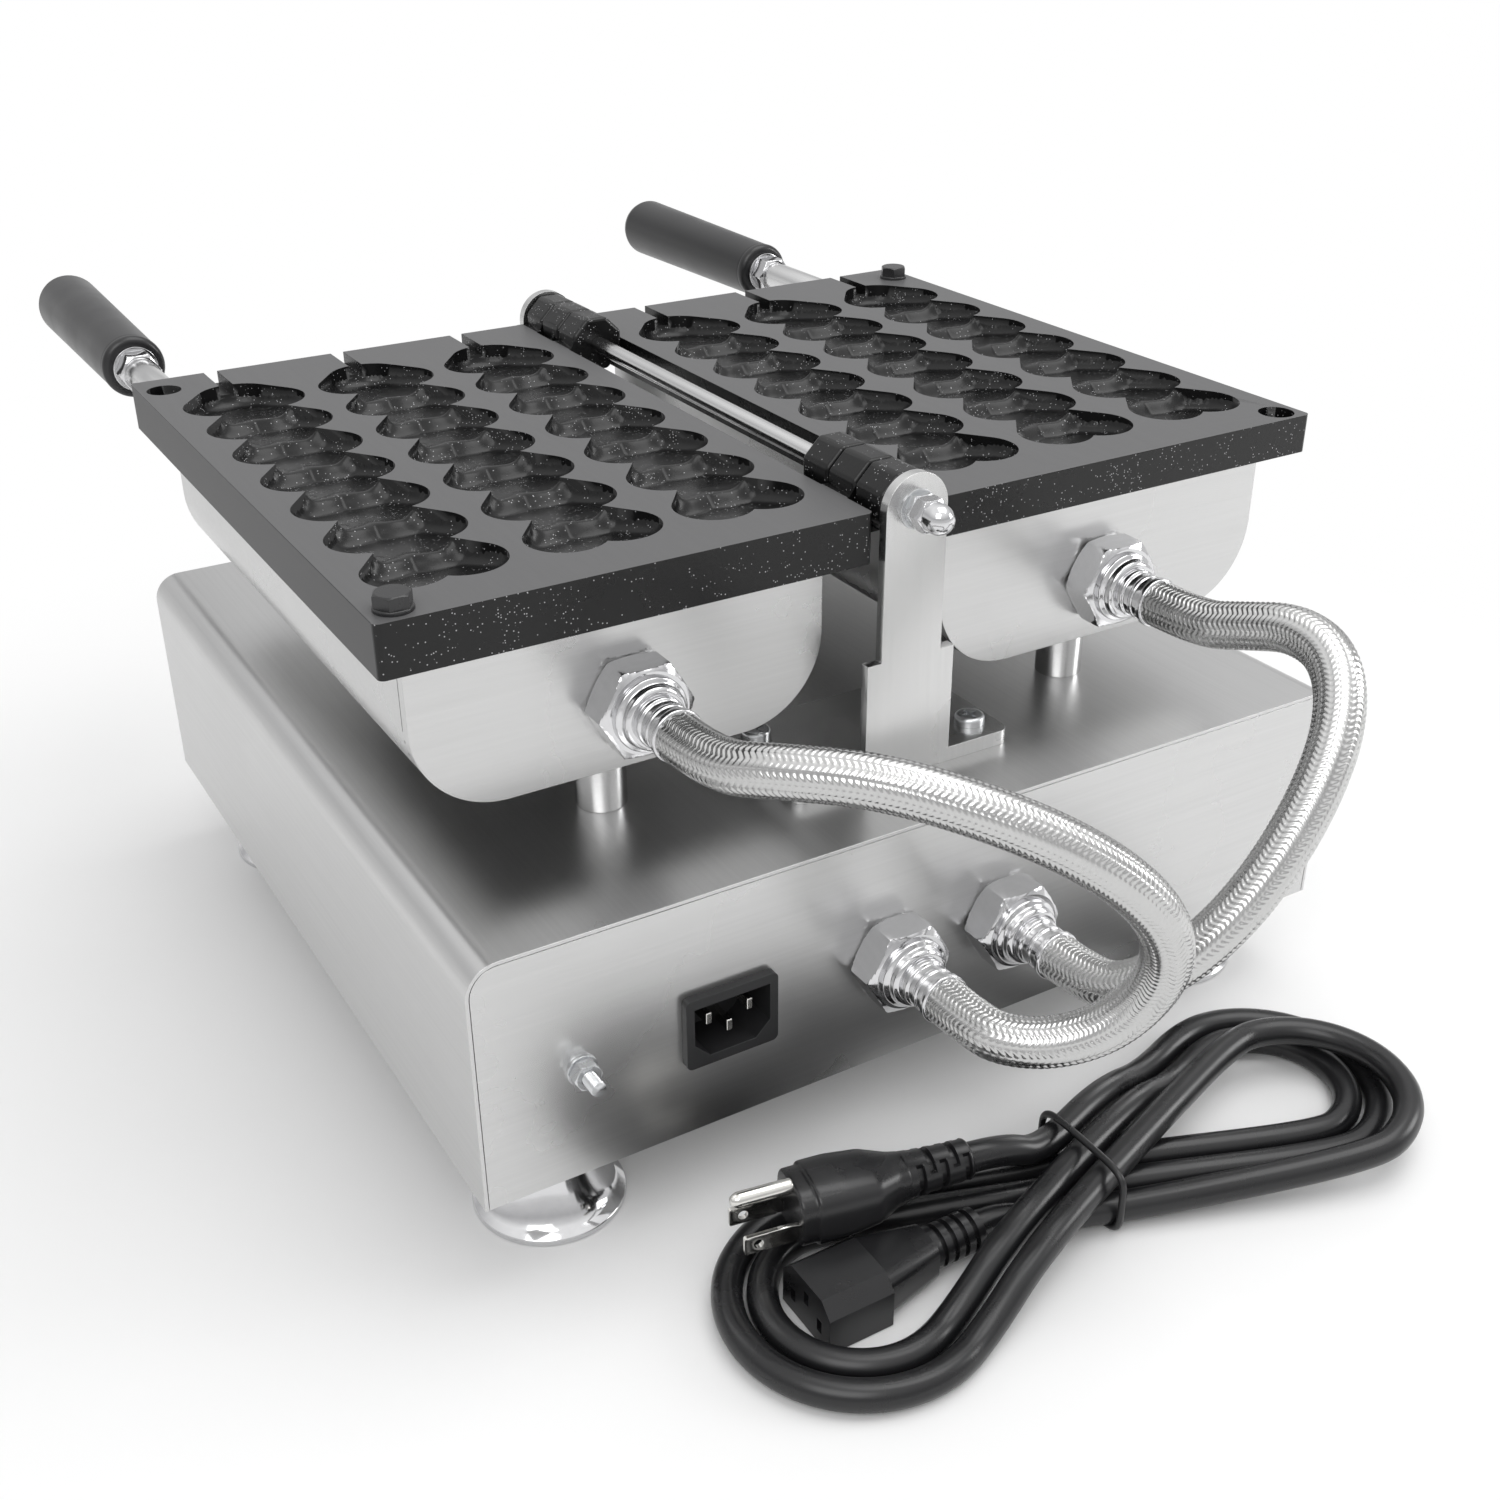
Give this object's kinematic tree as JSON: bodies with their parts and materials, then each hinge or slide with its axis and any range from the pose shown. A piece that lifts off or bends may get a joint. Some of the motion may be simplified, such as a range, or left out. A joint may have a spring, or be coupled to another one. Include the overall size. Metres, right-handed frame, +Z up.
{
  "type": "waffle on a stick maker",
  "caption": "Mains waffle maker that bakes stick waffles between two hinged heated plates over a steel cabinet.",
  "frame": {"origin": "on the ground under the middle of the cabinet", "axes": "+Z up, the handles and the front controls towards -Y, the inlet, the hoses and the cord towards +Y; pieces named right lie at +X"},
  "size_m": [0.3311, 0.5468, 0.2165],
  "materials": {
    "brushed_steel": "brushed",
    "chrome": "polished",
    "bright_steel": "bright",
    "coated_iron": "dark coat with a ground rim",
    "dark_steel": "blackened",
    "steel_braid": "woven wire",
    "mineral_wool": "fibrous",
    "grip_black": "semi-gloss",
    "black_plastic": "satin",
    "rocker_red": "gloss",
    "lamp_lens": "gloss",
    "contact_brass": "bright",
    "cream_plastic": "satin",
    "cord_jacket": "semi-gloss"
  },
  "bodies": {
    "base": {"base_wrap": "brushed_steel", "bottom_plate": "brushed_steel", "rear_panel": "brushed_steel", "front_panel": "brushed_steel", "foot_front_left": "chrome", "foot_rear_left": "chrome", "foot_front_right": "chrome", "foot_rear_right": "chrome", "foot_bolts": "bright_steel", "hinge_bracket_rear": "brushed_steel", "hinge_bracket_front": "brushed_steel", "bracket_screws": "bright_steel", "hinge_rod": "bright_steel", "rod_nuts": "bright_steel", "acorn_nuts": "chrome", "rest_posts": "bright_steel", "base_hose_nuts": "chrome", "base_hose_ferrules": "chrome", "hose_right": "steel_braid", "hose_left": "steel_braid", "inlet_housing": "black_plastic", "inlet_pins": "contact_brass", "ground_stud": "contact_brass", "ground_nut": "bright_steel", "switch_housing": "black_plastic", "indicator_lamps": "lamp_lens", "thermostat_body": "black_plastic", "timer_body": "black_plastic", "terminal_block": "cream_plastic", "cord_hank": "cord_jacket", "cord_tie": "black_plastic", "power_plug": "cord_jacket", "cord_connector": "cord_jacket"},
    "half_right": {"plate_right": "coated_iron", "register_peg_right": "dark_steel", "case_right": "brushed_steel", "heating_element_right": "bright_steel", "insulation_right": "mineral_wool", "handle_rod_right": "bright_steel", "handle_nut_right": "bright_steel", "grip_right": "grip_black", "hose_nut_right": "chrome", "hose_ferrule_right": "chrome"},
    "half_left": {"plate_left": "coated_iron", "register_peg_left": "dark_steel", "case_left": "brushed_steel", "heating_element_left": "bright_steel", "insulation_left": "mineral_wool", "handle_rod_left": "bright_steel", "handle_nut_left": "bright_steel", "grip_left": "grip_black", "hose_nut_left": "chrome", "hose_ferrule_left": "chrome"},
    "power_rocker": {"power_rocker": "rocker_red"},
    "thermostat_knob": {"thermostat_knob": "black_plastic"},
    "timer_knob": {"timer_knob": "black_plastic"}
  },
  "joints": [
    {"name": "half_right_hinge", "type": "hinge", "parent": "base", "child": "half_right", "pos_m": [0, 0, 0.2055], "axis": [0, -1, 0], "range_deg": [0, 90], "deforming": ["hose_right"]},
    {"name": "half_left_hinge", "type": "hinge", "parent": "base", "child": "half_left", "pos_m": [0, 0, 0.2055], "axis": [0, 1, 0], "range_deg": [0, 90], "deforming": ["hose_left"]},
    {"name": "power_rocker_tilt", "type": "hinge", "parent": "base", "child": "power_rocker", "pos_m": [-0.112, -0.1575, 0.076], "axis": [-1, 0, 0], "range_deg": [0, 20]},
    {"name": "thermostat_turn", "type": "hinge", "parent": "base", "child": "thermostat_knob", "pos_m": [-0.018, -0.1575, 0.076], "axis": [0, 1, 0], "range_deg": [0, 270]},
    {"name": "timer_turn", "type": "hinge", "parent": "base", "child": "timer_knob", "pos_m": [0.066, -0.1575, 0.076], "axis": [0, 1, 0], "range_deg": [0, 300]}
  ]
}
